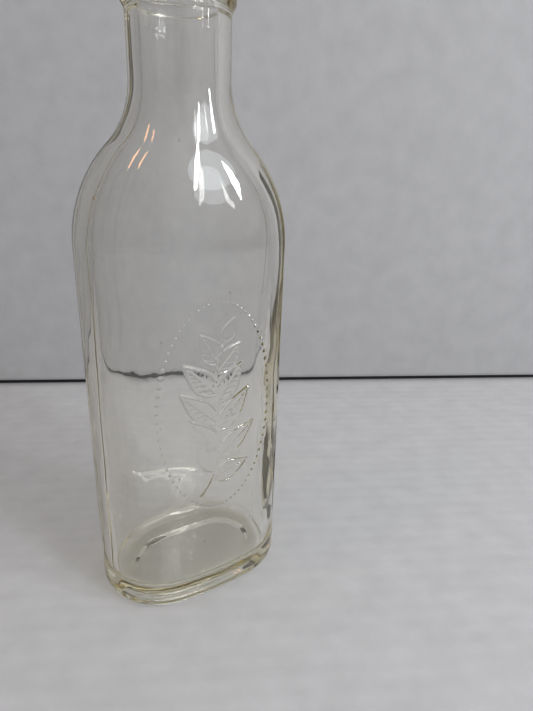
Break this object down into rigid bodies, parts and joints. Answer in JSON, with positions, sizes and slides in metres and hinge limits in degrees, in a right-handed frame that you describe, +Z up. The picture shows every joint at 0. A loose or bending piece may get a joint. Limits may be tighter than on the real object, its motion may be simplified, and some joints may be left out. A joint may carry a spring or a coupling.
{
  "type": "cod liver oil bottle",
  "caption": "Empty clear glass bottle of flattened oval plan, with round shoulders, a straight round neck with a bead, an open screw mouth and a thick base.",
  "frame": {"origin": "middle of the foot, on the surface that the bottle stands on", "axes": "+Z up the neck, X along the broad width, Y through the two flat faces"},
  "size_m": [0.0634, 0.0442, 0.1905],
  "materials": {
    "glass": "clear polished glass with a faint straw tint where it is thick"
  },
  "bodies": {
    "root": {"bottle": "glass"}
  },
  "joints": []
}
